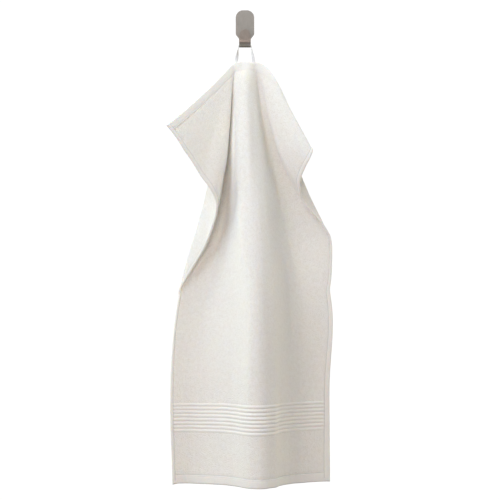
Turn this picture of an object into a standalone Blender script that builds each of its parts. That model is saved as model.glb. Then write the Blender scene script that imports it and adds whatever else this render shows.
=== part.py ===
"""A white terry hand towel hanging by its tape loop from a small wall hook of bent sheet steel.

Frame: +X to the right, +Y into the wall, +Z up. The wall is the plane Y = 0, and the origin is the
centre of the hook plate's back face, which lies on the wall. Sizes are in metres.
"""

import math

import bmesh
import bpy
import numpy as np

for old in list(bpy.data.objects):
    bpy.data.objects.remove(old, do_unlink=True)

MM = 0.001
PIECE_GAP = 0.3 * MM  # left between pieces that touch on the real thing

# ---- driving dimensions -------------------------------------------------------------------------

# The towel, as it is cut and hemmed before it is hung.
TOWEL_WIDTH = 400 * MM
TOWEL_LENGTH = 700 * MM
CLOTH_THICKNESS = 2.4 * MM
HEM_THICKNESS = 3.6 * MM
END_HEM = 14.5 * MM  # the top and bottom hems
SIDE_HEM = 6 * MM
HEM_STEP = 1.5 * MM  # over which the hem thins down to the cloth

# The woven band near the bottom edge: raised ribs that run from side hem to side hem.
RIB_COUNT = 8
RIB_PITCH = 6.25 * MM
RIB_HEIGHT = 0.9 * MM
BAND_TOP_FROM_HEM_EDGE = 134 * MM

# The hook: one strip of sheet steel, 31 mm wide on the wall and narrower round the bend.
STEEL = 1.6 * MM
PLATE_WIDTH = 31 * MM
PLATE_TOP = 22.5 * MM
PLATE_CORNER = 12.5 * MM
SHOULDER_TOP = -16.5 * MM  # below this the plate narrows to the neck
SHOULDER_BOTTOM = -27 * MM
NECK_WIDTH = 19.4 * MM
BEND_CENTRE_Z = -29.5 * MM
BEND_INNER_RADIUS = 10 * MM
TONGUE_TOP = -12.5 * MM
TONGUE_TOP_WIDTH = 14.4 * MM
TONGUE_LEAN = math.radians(6)  # out from the wall towards its top

# The hanging loop: narrow tape that lies in the bend and runs down behind the top hem.
TAPE_WIDTH = 5 * MM
TAPE_THICKNESS = 0.9 * MM
LOOP_SPREAD = 29 * MM  # between the two sewn ends
LOOP_TUCK = 12 * MM  # how far each end runs down behind the hem

# Where the top hem hangs.
TOP_EDGE_Z = -65.3 * MM
TOP_EDGE_OUT = 12 * MM  # from the wall to the middle of the cloth

# ---- the towel ----------------------------------------------------------------------------------

# The cloth fans out from the two sewn ends of the loop. Each row is one line that runs straight down
# the flat cloth's fan, at the given angle from the top hem, and then straight down to the bottom hem.
# The pairs say where that line hangs, in millimetres: across (X) and out from the wall (-Y), at four
# places down the line: 250 mm from the loop's end, the end of the fan (400 mm, or the side edge where
# that is nearer), 550 mm below the top edge, and the bottom hem. A line that leaves the cloth through
# its side edge has one pair, for the end of the fan.
FAN_MIDDLE = 250
FAN_END = 400
LOWER_LEVEL = 550
LEFT_FOLDS = [
    # fold, angle, (across, out) in the fan, at its end, low down, at the hem
    ("top edge", 0, None, (-126, 104.5)),
    ("upper wing", 16, None, (-98, 93)),
    ("lower wing", 30, None, (-71.5, 81)),
    ("turn of the rim", 36, None, (-55, 75)),
    ("rim", 41.3, None, (-45, 66)),
    ("behind the rim", 47, None, (-49, 52)),
    ("behind the wing", 54, None, (-66, 34)),
    ("wall fold", 62.4, (-73, 8), (-112.5, 18), (-126, 24), (-121, 24)),
    ("side panel", 66.5, (-53, 11), (-91, 14), (-100, 21), (-98, 21)),
    ("valley", 71, (-30, 16), (-64, 16), (-74, 28), (-76, 30)),
    ("slope", 76, (-24, 34), (-39, 35), (-45, 44), (-48, 50)),
    ("flank", 82, (-18, 57), (-17, 67), (-20, 74), (-20, 80)),
    ("brow", 87.5, (-9, 77), (1, 101), (-1, 109), (-1, 114)),
    ("middle", 90, (-1.5, 85), (9.5, 113), (9, 122), (11, 127.5)),
]
CROWN = ("crown", 90, (10.5, 88), (20.5, 117), (22, 127), (24, 133))  # midway between the loop's ends
RIGHT_FOLDS = [
    ("top edge", 0, None, (96, 45)),
    ("turn of the wing", 18, None, (112, 65)),
    ("wing", 29, None, (95, 57)),
    ("rim", 35, None, (90.5, 47)),
    ("behind the rim", 42.2, None, (98, 33)),
    ("behind the wing", 50.1, None, (126.5, 19)),
    ("wall fold", 55.3, None, (146, 12.5)),
    ("side edge", 62.4, (93, 7), (141.5, 14), (137.5, 20), (137, 22)),
    ("side panel", 66, (74, 8), (117, 18), (115, 25), (114, 30)),
    ("valley", 70, (58, 14), (92, 25), (92, 36), (90, 42)),
    ("slope", 75, (49, 33), (72, 40), (70, 60), (70, 66)),
    ("flank", 80, (42, 53), (60, 68), (57, 88), (57, 94)),
    ("brow", 85, (33.5, 72), (48, 98), (49, 110), (50, 114)),
    ("ridge", 90, (21.5, 84), (29.5, 114), (33, 124), (35, 130)),
]
# How far the bottom hem hangs below the hook's centre, at an angle of the fan, in millimetres.
LEFT_HEM_DROP = [(62.4, 766.5), (71, 765.5), (80, 762), (90, 758.5)]
RIGHT_HEM_DROP = [(62.4, 762.5), (70, 762.5), (80, 759), (90, 758)]
# The stiff hem keeps the cloth flat for this far beside the loop before it falls into its folds.
LEFT_SHOULDER, RIGHT_SHOULDER = 9, 58
LEAST_SHOULDER = 6
# How far the lines of a wing sag, and how far they bend in towards the middle, by angle of the fan.
LEFT_SAG, RIGHT_SAG = [(0, 5), (30, 0)], [(0, 0), (30, 0)]
LEFT_BELLY = [(30, 0), (36, 3), (41.3, 5), (47, 5), (62, 0)]
RIGHT_BELLY = [(18, 0), (29, 7), (35, 14), (42.2, 14), (50.1, 8), (62, 0)]
# Half the breadth over which a fold is rounded: at the loop on the left and on the right, which dies away
# by a depth below the loop, then in the fan, and how much more low down.
LEFT_FOLD_START, RIGHT_FOLD_START, HELD_OPEN, FOLD_IN_FAN, FOLD_LOW_EXTRA = 16, 3, 100, 7, 10
EVENING_PASSES = 3

HALF_WIDTH = TOWEL_WIDTH / MM / 2
LENGTH = TOWEL_LENGTH / MM
HALF_LOOP = LOOP_SPREAD / MM / 2


def through(places, knots, points):
    """A smooth curve through the points, whose tangent at each is that of its neighbours."""
    knots, points = np.array(knots, float), np.array(points, float)
    slopes = np.gradient(points, knots, axis=0)
    i = np.clip(np.searchsorted(knots, places, side="right") - 1, 0, len(knots) - 2)
    span = (knots[i + 1] - knots[i])[:, None]
    x = (places - knots[i])[:, None] / span
    return (
        (2 * x**3 - 3 * x**2 + 1) * points[i]
        + (x**3 - 2 * x**2 + x) * span * slopes[i]
        + (3 * x**2 - 2 * x**3) * points[i + 1]
        + (x**3 - x**2) * span * slopes[i + 1]
    )


def hanging_line(side, fold, places, shoulder, sag, belly, hem_drop):
    """Where the points of one fold's line hang, in millimetres as (across, out, up)."""
    angle, in_fan, fan_end, *lower = fold[1:]
    turn = math.radians(angle)
    start = np.array([side * HALF_LOOP, TOP_EDGE_OUT / MM, TOP_EDGE_Z / MM])
    flat = np.array([side * math.cos(turn), 0, -math.sin(turn)])
    reach = min(FAN_END, (HALF_WIDTH - HALF_LOOP) / max(math.cos(turn), 1e-6))
    first_place, first = (FAN_MIDDLE, in_fan) if in_fan else (reach, fan_end)
    shoulder = max(shoulder * math.cos(turn) ** 2, LEAST_SHOULDER)

    def still_flat(place):
        return shoulder / 2 * (1 - np.exp(-2 * place / shoulder))

    lean = (np.array(first) - start[:2] - flat[:2] * still_flat(first_place)) / (
        first_place - still_flat(first_place)
    )
    fall = np.array([*lean, -math.sqrt(1 - lean @ lean)])

    def taut(place):
        flat_share = still_flat(np.atleast_1d(place))[:, None]
        return start + flat * flat_share + fall * (np.atleast_1d(place)[:, None] - flat_share)

    if not lower:
        share = np.clip(places / reach, 0, 1)
        sagging = np.outer(4 * share * (1 - share), (0, 0, -np.interp(angle, *zip(*sag))))
        bent_in = -side * np.interp(angle, *zip(*belly))
        return taut(places) + sagging + np.outer(6.75 * share**2 * (1 - share), (bent_in, 0, 0))
    above = taut(FAN_MIDDLE)[0]
    drop = math.sqrt((FAN_END - FAN_MIDDLE) ** 2 - np.sum((np.array(fan_end) - above[:2]) ** 2))
    hem_up = -np.interp(angle, *zip(*hem_drop))
    fan_bottom = FAN_END * math.sin(turn)
    knots = [60, 150, FAN_MIDDLE, FAN_END]
    knots += [FAN_END + LOWER_LEVEL - fan_bottom, FAN_END + LENGTH - fan_bottom]
    points = [taut(60)[0], taut(150)[0], above, (*fan_end, above[2] - drop)]
    points += [(*lower[0], hem_up + LENGTH - LOWER_LEVEL - 1), (*lower[1], hem_up)]
    line = through(np.maximum(places, knots[0]), knots, points)
    near = places < knots[0]
    line[near] = taut(places[near])
    return line


# Places across the cloth run from 0 (the left top edge) to 90 (below the loop's left end), on to 120
# (below its right end) and to 210 (the right top edge).
MIDDLE_START, MIDDLE_END, LAST = 90, 120, 210
LINE_STEP = 2
LINE_PLACES = np.arange(0, 770, LINE_STEP, dtype=float)
LEFT_SIDE = (LEFT_SHOULDER, LEFT_SAG, LEFT_BELLY, LEFT_HEM_DROP)
RIGHT_SIDE = (RIGHT_SHOULDER, RIGHT_SAG, RIGHT_BELLY, RIGHT_HEM_DROP)
ROW_PLACES = np.array(
    [fold[1] for fold in LEFT_FOLDS] + [LAST / 2] + [LAST - fold[1] for fold in RIGHT_FOLDS[::-1]]
)
ROW_LINES = np.array(
    [hanging_line(-1, fold, LINE_PLACES, *LEFT_SIDE) for fold in LEFT_FOLDS]
    + [hanging_line(0, CROWN, LINE_PLACES, *RIGHT_SIDE)]
    + [hanging_line(1, fold, LINE_PLACES, *RIGHT_SIDE) for fold in RIGHT_FOLDS[::-1]]
)


def between_rows(across, down):
    """The point at each place across and down, straight between the two nearest folds."""
    i = np.clip(np.searchsorted(ROW_PLACES, across, side="right") - 1, 0, len(ROW_PLACES) - 2)
    x = ((across - ROW_PLACES[i]) / (ROW_PLACES[i + 1] - ROW_PLACES[i]))[..., None]
    step = np.clip(down / LINE_STEP, 0, len(LINE_PLACES) - 1.001)
    j = step.astype(int)
    y = (step - j)[..., None]
    left = ROW_LINES[i, j] * (1 - y) + ROW_LINES[i, j + 1] * y
    right = ROW_LINES[i + 1, j] * (1 - y) + ROW_LINES[i + 1, j + 1] * y
    return left * (1 - x) + right * x


def past_edges(across, down):
    """The same, carried straight on past the two top edges."""
    inside = np.clip(across, 0, LAST)
    mirrored = np.clip(2 * inside - across, 0, LAST)
    beyond = (across != inside)[..., None]
    edge = between_rows(inside, down)
    return np.where(beyond, 2 * edge - between_rows(mirrored, down), edge)


def hung(across, down):
    """Where the flat cloth's points hang: across from its middle, down from its top edge, in mm."""
    aside = np.clip(np.abs(across) - HALF_LOOP, 0, None)
    reach = np.hypot(aside, down)
    fan_angle = np.where(aside > 0, np.degrees(np.arctan2(down, aside)), MIDDLE_START)
    end_angle = np.degrees(np.arccos(np.clip(aside / FAN_END, 0, 1)))
    fan_bottom = FAN_END * np.sin(np.radians(end_angle))
    below = down > fan_bottom
    angle = np.where(below, end_angle, fan_angle)
    line_place = np.where(below, FAN_END + down - fan_bottom, reach)
    middle = (MIDDLE_START + MIDDLE_END) / 2
    middle_place = middle + across / HALF_LOOP * (MIDDLE_END - middle)
    place = np.where(across < 0, angle, LAST - angle)
    place = np.where(np.abs(across) < HALF_LOOP, middle_place, place)

    low = np.clip((line_place - 220) / 220, 0, 1)
    fold_start = np.interp(place, (MIDDLE_START, MIDDLE_END), (LEFT_FOLD_START, RIGHT_FOLD_START))
    held_open = np.clip(1 - line_place / HELD_OPEN, 0, 1)
    rounding = FOLD_IN_FAN + (fold_start - FOLD_IN_FAN) * held_open
    rounding = rounding + FOLD_LOW_EXTRA * low * low * (3 - 2 * low)
    degrees_per_mm = 180 / np.pi / np.maximum(line_place, 8)
    total, weights = 0, 0
    for offset in np.linspace(-1, 1, 19)[1:-1]:
        weight = (1 - offset * offset) ** 2
        total = total + weight * past_edges(place + rounding * offset * degrees_per_mm, line_place)
        weights += weight
    return total / weights


def evened(grid, passes):
    """The grid with each point moved towards its neighbours, its edges along themselves only."""
    for _ in range(passes):
        new = grid.copy()
        new[1:-1, 1:-1] = grid[1:-1, 1:-1] / 2 + (
            grid[:-2, 1:-1] + grid[2:, 1:-1] + grid[1:-1, :-2] + grid[1:-1, 2:]
        ) / 8
        for edge in (0, -1):
            new[edge, 1:-1] = grid[edge, 1:-1] / 2 + (grid[edge, :-2] + grid[edge, 2:]) / 4
            new[1:-1, edge] = grid[1:-1, edge] / 2 + (grid[:-2, edge] + grid[2:, edge]) / 4
        grid = new
    return grid


def sampled(grid, step, across, down):
    """The evened grid read at the places of the mesh's own columns and rows."""
    x, y = np.meshgrid((across + HALF_WIDTH) / step, down / step, indexing="ij")
    i = np.clip(x.astype(int), 0, grid.shape[0] - 2)
    j = np.clip(y.astype(int), 0, grid.shape[1] - 2)
    x, y = (x - i)[..., None], (y - j)[..., None]
    top = grid[i, j] * (1 - x) + grid[i + 1, j] * x
    bottom = grid[i, j + 1] * (1 - x) + grid[i + 1, j + 1] * x
    return top * (1 - y) + bottom * y


def cloth_columns():
    """The mesh's places across the flat cloth: evenly spaced, with a pair at each side hem's step."""
    inner = HALF_WIDTH - (SIDE_HEM + HEM_STEP) / MM
    return np.array([-HALF_WIDTH, -HALF_WIDTH + SIDE_HEM / MM, *np.linspace(-inner, inner, 33),
                     HALF_WIDTH - SIDE_HEM / MM, HALF_WIDTH])


def cloth_rows():
    """The mesh's places down the flat cloth, with two for each rib of the band."""
    hem, step, pitch = END_HEM / MM, HEM_STEP / MM, RIB_PITCH / MM
    band_top = LENGTH - BAND_TOP_FROM_HEM_EDGE / MM
    band = band_top + pitch / 2 * np.arange(2 * RIB_COUNT + 1)
    below = LENGTH - hem - step
    return np.array([0, hem, *np.linspace(hem + step, band_top, 40)[:-1], *band,
                     *np.linspace(band[-1], below, 7)[1:], LENGTH - hem, LENGTH])


def half_thickness(across, down):
    """Half the cloth's thickness at each point: thick in the hems, raised on the band's ribs."""
    across, down = np.meshgrid(across, down, indexing="ij")
    to_side = HALF_WIDTH - np.abs(across)
    to_end = np.minimum(down, LENGTH - down)
    in_hem = (to_side <= SIDE_HEM / MM + 0.01) | (to_end <= END_HEM / MM + 0.01)
    band_top = LENGTH - BAND_TOP_FROM_HEM_EDGE / MM
    rib = (down - band_top) / (RIB_PITCH / MM)
    on_rib = (rib > 0.01) & (rib < RIB_COUNT - 0.01) & (np.abs(rib % 1 - 0.5) < 0.01) & ~in_hem
    thickness = np.where(in_hem, HEM_THICKNESS, CLOTH_THICKNESS) / 2
    return thickness + np.where(on_rib, RIB_HEIGHT, 0)


def to_world(points_mm):
    """Points given as (across, out, up) in millimetres, in the part's frame in metres."""
    return points_mm * np.array([MM, -MM, MM])


def grid_normals(grid):
    along, down = np.gradient(grid, axis=0), np.gradient(grid, axis=1)
    normal = np.cross(along, down)
    return normal / np.linalg.norm(normal, axis=2, keepdims=True)


def mesh_object(name, vertices, faces, material):
    mesh = bpy.data.meshes.new(name)
    mesh.from_pydata([tuple(v) for v in vertices], [], faces)
    shape = bmesh.new()
    shape.from_mesh(mesh)
    bmesh.ops.recalc_face_normals(shape, faces=shape.faces)
    shape.to_mesh(mesh)
    shape.free()
    mesh.shade_smooth()
    mesh.set_sharp_from_angle(angle=math.radians(40))
    mesh.materials.append(material)
    piece = bpy.data.objects.new(name, mesh)
    bpy.context.collection.objects.link(piece)
    return piece


def plain_material(name, colour, roughness, metallic=0.0):
    material = bpy.data.materials.new(name)
    material.use_nodes = True
    shader = material.node_tree.nodes["Principled BSDF"]
    shader.inputs["Base Color"].default_value = (*colour, 1)
    shader.inputs["Roughness"].default_value = roughness
    shader.inputs["Metallic"].default_value = metallic
    return material


def closed_sheet(front, back):
    """Vertices and faces of a sheet between two grids of points, closed round its rim.

    Each cell is split along its longer diagonal, which is the one that runs along a fold.
    """
    columns, rows = front.shape[:2]
    vertices = np.concatenate([front.reshape(-1, 3), back.reshape(-1, 3)])

    def at(layer, i, j):
        return layer * columns * rows + i * rows + j

    faces = []
    middle = (front + back) / 2
    falling = np.linalg.norm(middle[1:, 1:] - middle[:-1, :-1], axis=2)
    rising = np.linalg.norm(middle[1:, :-1] - middle[:-1, 1:], axis=2)
    for i in range(columns - 1):
        for j in range(rows - 1):
            a, b, c, d = (i, j), (i, j + 1), (i + 1, j + 1), (i + 1, j)
            along_fall = falling[i, j] > rising[i, j] - 1e-9
            for triangle in ((a, b, c), (a, c, d)) if along_fall else ((a, b, d), (b, c, d)):
                faces.append([at(0, *corner) for corner in triangle])
                faces.append([at(1, *corner) for corner in triangle[::-1]])
    rim = [(i, 0) for i in range(columns)] + [(columns - 1, j) for j in range(1, rows)]
    rim += [(i, rows - 1) for i in range(columns - 2, -1, -1)]
    rim += [(0, j) for j in range(rows - 2, 0, -1)]
    for here, there in zip(rim, rim[1:] + rim[:1]):
        faces.append([at(0, *here), at(0, *there), at(1, *there), at(1, *here)])
    return vertices, faces


def make_towel():
    drape_step = 5
    drape_across = np.arange(-HALF_WIDTH, HALF_WIDTH + 1, drape_step)
    drape_down = np.arange(0, LENGTH + 1, drape_step)
    grid = evened(hung(*np.meshgrid(drape_across, drape_down, indexing="ij")), EVENING_PASSES)
    across, down = cloth_columns(), cloth_rows()
    middle = to_world(sampled(grid, drape_step, across, down))
    offset = grid_normals(middle) * half_thickness(across, down)[..., None]
    vertices, faces = closed_sheet(middle + offset, middle - offset)
    return mesh_object("towel", vertices, faces, plain_material("terry", (0.86, 0.84, 0.80), 0.95))


# ---- the wall hook ------------------------------------------------------------------------------

BEND_MIDDLE_RADIUS = BEND_INNER_RADIUS + STEEL / 2
BEND_STEPS = 18


def corner_inset(distance, radius):
    """How far a rounded corner draws the side in, at a distance from the strip's end."""
    return radius - math.sqrt(max(radius**2 - (radius - min(distance, radius)) ** 2, 0))


def plate_half_width(z):
    """Half the strip's width on the wall: rounded at the top, drawn in at the shoulders."""
    if z > SHOULDER_TOP:
        return PLATE_WIDTH / 2 - corner_inset(PLATE_TOP - z, PLATE_CORNER)
    share = min((SHOULDER_TOP - z) / (SHOULDER_TOP - SHOULDER_BOTTOM), 1)
    ease = (1 - math.cos(math.pi * share)) / 2
    return PLATE_WIDTH / 2 + (NECK_WIDTH - PLATE_WIDTH) / 2 * ease


def tongue_half_width(z):
    share = (z - BEND_CENTRE_Z) / (TONGUE_TOP - BEND_CENTRE_Z)
    straight = (NECK_WIDTH + (TONGUE_TOP_WIDTH - NECK_WIDTH) * share) / 2
    return straight - corner_inset(TONGUE_TOP - z, TONGUE_TOP_WIDTH / 2 - 1 * MM)


def hook_stations():
    """(out, z, turn, half width) down the plate, round the bend and up the tongue.

    turn is how far the strip has turned from hanging straight down, in radians.
    """
    corner = PLATE_CORNER * (1 - np.cos(np.linspace(0, math.pi / 2, 8)))
    plate = [PLATE_TOP - d for d in corner]
    plate += list(np.linspace(SHOULDER_TOP, SHOULDER_BOTTOM, 9)) + [BEND_CENTRE_Z]
    stations = [(STEEL / 2, z, 0.0, plate_half_width(z)) for z in plate]
    for turn in np.linspace(0, math.pi - TONGUE_LEAN, BEND_STEPS + 1)[1:]:
        out = STEEL / 2 + BEND_MIDDLE_RADIUS * (1 - math.cos(turn))
        z = BEND_CENTRE_Z - BEND_MIDDLE_RADIUS * math.sin(turn)
        stations.append((out, z, turn, NECK_WIDTH / 2))
    out, low, turn, _ = stations[-1]
    top_round = (TONGUE_TOP_WIDTH / 2) * (1 - np.cos(np.linspace(math.pi / 2, 0, 8)))
    for z in [BEND_CENTRE_Z, *[TONGUE_TOP - d for d in top_round]]:
        stations.append((out + (z - low) * math.tan(TONGUE_LEAN), z, turn, tongue_half_width(z)))
    return stations


def make_hook():
    columns = [[], []]
    for out, z, turn, half_width in hook_stations():
        towards_inside = np.array([0, -math.cos(turn), math.sin(turn)]) * STEEL / 2
        centre = np.array([0, -out, z])
        for layer, side in ((0, 1), (1, -1)):
            middle = centre + side * towards_inside
            columns[layer].append([middle + (x, 0, 0) for x in (-half_width, half_width)])
    inside, outside = (np.array(layer).transpose(1, 0, 2) for layer in columns)
    vertices, faces = closed_sheet(inside, outside)
    steel = plain_material("brushed_steel", (0.52, 0.49, 0.46), 0.35, metallic=1.0)
    return mesh_object("wall_hook", vertices, faces, steel)


# ---- the hanging loop ---------------------------------------------------------------------------

TAPE_CLEARANCE = 0.55 * MM  # from the hook's steel, also where the tape turns over its edges
TAPE_TURN_RADIUS = 1.3 * MM
TAPE_TURN_STEPS = 5
TWIST_STEPS = 8


def loop_half_route():
    """(x, out, z, lean, twist) from the middle of the bend to the right sewn end.

    lean is the turn from lying flat across the bend to hanging down, and twist is the turn from the
    tape's width lying front to back to its width lying across the hem, both in radians.
    """
    bend_out = STEEL + BEND_INNER_RADIUS
    lift = BEND_INNER_RADIUS - math.sqrt(BEND_INNER_RADIUS**2 - (TAPE_WIDTH / 2) ** 2)
    rest_z = BEND_CENTRE_Z - BEND_INNER_RADIUS + lift + TAPE_CLEARANCE + TAPE_THICKNESS / 2
    edge_x = NECK_WIDTH / 2 + TAPE_CLEARANCE + TAPE_THICKNESS / 2
    hem_back = TOP_EDGE_OUT - HEM_THICKNESS / 2 - PIECE_GAP - TAPE_THICKNESS / 2
    turn_x = edge_x - TAPE_TURN_RADIUS
    route = [(0, bend_out, rest_z, 0, 0), (turn_x, bend_out, rest_z, 0, 0)]
    for lean in np.linspace(0, math.pi / 2, TAPE_TURN_STEPS + 1)[1:]:
        x = turn_x + TAPE_TURN_RADIUS * math.sin(lean)
        z = rest_z - TAPE_TURN_RADIUS * (1 - math.cos(lean))
        route.append((x, bend_out, z, lean, 0))
    start, hem_z = route[-1], TOP_EDGE_Z + 1.5 * MM
    for share in np.linspace(0, 1, TWIST_STEPS + 1)[1:]:
        ease = share * share * (3 - 2 * share)
        x = start[0] + (LOOP_SPREAD / 2 - start[0]) * share
        out = start[1] + (hem_back - start[1]) * ease
        route.append((x, out, start[2] + (hem_z - start[2]) * share, math.pi / 2, math.pi / 2 * ease))
    route.append((LOOP_SPREAD / 2, hem_back, TOP_EDGE_Z - LOOP_TUCK, math.pi / 2, math.pi / 2))
    return route


def make_loop():
    right = loop_half_route()
    left = [(-x, out, z, -lean, -twist) for x, out, z, lean, twist in right[:0:-1]]
    layers = [[], []]
    for x, out, z, lean, twist in left + right:
        heading = np.array([math.cos(lean), 0, -math.sin(abs(lean)) * (1 if lean >= 0 else -1)])
        width = np.array([math.sin(twist), -math.cos(twist), 0])
        if abs(lean) < math.pi / 2:
            width = np.array([0, -1, 0])
        normal = np.cross(width, heading)
        centre = np.array([x, -out, z])
        for layer, side in ((0, 1), (1, -1)):
            middle = centre + side * normal * TAPE_THICKNESS / 2
            layers[layer].append([middle + across * width * TAPE_WIDTH / 2 for across in (-1, 1)])
    front, back = (np.array(layer).transpose(1, 0, 2) for layer in layers)
    vertices, faces = closed_sheet(front, back)
    return mesh_object("hanging_loop", vertices, faces, plain_material("tape", (0.88, 0.87, 0.85), 0.8))


make_towel()
make_hook()
make_loop()
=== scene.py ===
import math

import bpy
import numpy as np
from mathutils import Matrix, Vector


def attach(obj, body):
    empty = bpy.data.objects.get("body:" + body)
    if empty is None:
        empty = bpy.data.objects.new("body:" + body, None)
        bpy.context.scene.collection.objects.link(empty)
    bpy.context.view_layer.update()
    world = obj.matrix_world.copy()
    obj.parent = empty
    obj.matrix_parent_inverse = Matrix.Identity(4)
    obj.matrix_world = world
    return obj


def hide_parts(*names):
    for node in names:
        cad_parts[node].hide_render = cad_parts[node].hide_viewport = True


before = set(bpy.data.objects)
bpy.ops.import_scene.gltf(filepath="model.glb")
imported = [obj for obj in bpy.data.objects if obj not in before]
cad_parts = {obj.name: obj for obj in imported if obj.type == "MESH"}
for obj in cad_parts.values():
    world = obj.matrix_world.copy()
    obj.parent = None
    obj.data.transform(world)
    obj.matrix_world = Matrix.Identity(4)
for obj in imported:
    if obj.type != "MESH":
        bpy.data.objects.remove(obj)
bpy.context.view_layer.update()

# ---- the frame and the camera -------------------------------------------------------------------
# A hand towel hangs by its tape loop from a steel hook. +X is to the right, +Y into the wall and +Z up;
# the wall is the plane Y = 0, and the middle of the hook's plate is the origin.

MM = 0.001

CAMERA_DISTANCE = 2.5
CAMERA_AIM = (0.0084, -0.3786)  # X and Z of the middle of the picture
PICTURE_WIDTH = 0.837  # at the wall
SENSOR_WIDTH = 36

camera = bpy.data.objects.new("camera", bpy.data.cameras.new("camera"))
bpy.context.collection.objects.link(camera)
camera.location = (CAMERA_AIM[0], -CAMERA_DISTANCE, CAMERA_AIM[1])
camera.rotation_euler = (math.pi / 2, 0, 0)
camera.data.sensor_width = SENSOR_WIDTH
camera.data.lens = SENSOR_WIDTH * CAMERA_DISTANCE / PICTURE_WIDTH
bpy.context.scene.camera = camera

# ---- the wall hook ------------------------------------------------------------------------------
# One strip of 1.6 mm stainless sheet, brushed along its length. A rounded plate lies on the wall; below
# it the strip narrows, bends up through a U and ends in a round-topped tongue. Its edges are tumbled.

STEEL = 1.6 * MM
PLATE_WIDTH = 31 * MM
PLATE_TOP = 22.5 * MM
PLATE_CORNER = 12.5 * MM
SHOULDER_TOP = -16.5 * MM
SHOULDER_BOTTOM = -27 * MM
NECK_WIDTH = 19.4 * MM
BEND_CENTRE_Z = -29.5 * MM
BEND_INNER_RADIUS = 10 * MM
BEND_MIDDLE_RADIUS = BEND_INNER_RADIUS + STEEL / 2
TONGUE_TOP = -12.5 * MM
TONGUE_TOP_WIDTH = 14.4 * MM
TONGUE_CORNER = TONGUE_TOP_WIDTH / 2 - 1 * MM  # a little less than a half circle
TONGUE_LEAN = math.radians(6)
EDGE_ROUNDING = 0.35 * MM
STEEL_COLOUR = (0.33, 0.30, 0.27)
STEEL_ROUGHNESS = 0.36
BRUSH_LINES, BRUSH_PATCHES = (5200, 60), (90, 70)  # repeats per metre across and along the strip


def add_node(material, kind, inputs=(), **settings):
    """A node in a material, with its settings, and its inputs given as values or as other sockets."""
    node = material.node_tree.nodes.new(kind)
    for key, value in settings.items():
        setattr(node, key, value)
    for key, value in dict(inputs).items():
        if isinstance(value, bpy.types.NodeSocket):
            material.node_tree.links.new(value, node.inputs[key])
        else:
            node.inputs[key].default_value = value
    return node


def new_material(name, roughness, metallic=0.0):
    """A material with its shader, and the surface's own two measures along the cloth or the strip."""
    material = bpy.data.materials.new(name)
    material.use_nodes = True
    shader = material.node_tree.nodes["Principled BSDF"]
    shader.inputs["Roughness"].default_value = roughness
    shader.inputs["Metallic"].default_value = metallic
    measures = add_node(material, "ShaderNodeUVMap", uv_map="measures")
    return material, shader, measures.outputs["UV"]


def stretched(material, measures, across, along):
    """The surface's measures, scaled to a number of repeats per metre across and along it."""
    mapping = add_node(material, "ShaderNodeMapping", {"Vector": measures, "Scale": (across, along, 1)})
    return mapping.outputs[0]


def shade_between(material, factor, dark, light, low=0.0, high=1.0):
    """A colour that goes from dark to light as factor goes from low to high."""
    ramp = add_node(material, "ShaderNodeMapRange", {"Value": factor, "From Min": low, "From Max": high})
    mix = add_node(material, "ShaderNodeMix", {"Factor": ramp.outputs[0]}, data_type="RGBA")
    mix.inputs["A"].default_value = (*dark, 1)
    mix.inputs["B"].default_value = (*light, 1)
    return mix.outputs["Result"]


def use_bump(material, shader, height, depth, strength=1.0):
    """Small relief of the given depth in metres, drawn by the shader."""
    bump = add_node(material, "ShaderNodeBump", {"Height": height, "Distance": depth, "Strength": strength})
    material.node_tree.links.new(bump.outputs[0], shader.inputs["Normal"])


def brushed_steel():
    material, shader, measures = new_material("brushed_steel", STEEL_ROUGHNESS, metallic=1.0)
    lines = add_node(material, "ShaderNodeTexNoise",
                     {"Vector": stretched(material, measures, *BRUSH_LINES), "Scale": 1.0, "Detail": 3.0})
    patches = add_node(material, "ShaderNodeTexNoise",
                       {"Vector": stretched(material, measures, *BRUSH_PATCHES), "Scale": 1.0, "Detail": 2.0})
    both = add_node(material, "ShaderNodeMath",
                    {0: lines.outputs[0], 1: patches.outputs[0]}, operation="ADD")
    colour = shade_between(material, both.outputs[0], [c * 0.90 for c in STEEL_COLOUR],
                           [c * 1.08 for c in STEEL_COLOUR], 0.75, 1.25)
    material.node_tree.links.new(colour, shader.inputs["Base Color"])
    rough = add_node(material, "ShaderNodeMapRange",
                     {"Value": both.outputs[0], "From Min": 0.75, "From Max": 1.25,
                      "To Min": STEEL_ROUGHNESS - 0.06, "To Max": STEEL_ROUGHNESS + 0.08})
    material.node_tree.links.new(rough.outputs[0], shader.inputs["Roughness"])
    use_bump(material, shader, lines.outputs[0], 0.03 * MM)
    return material


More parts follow.
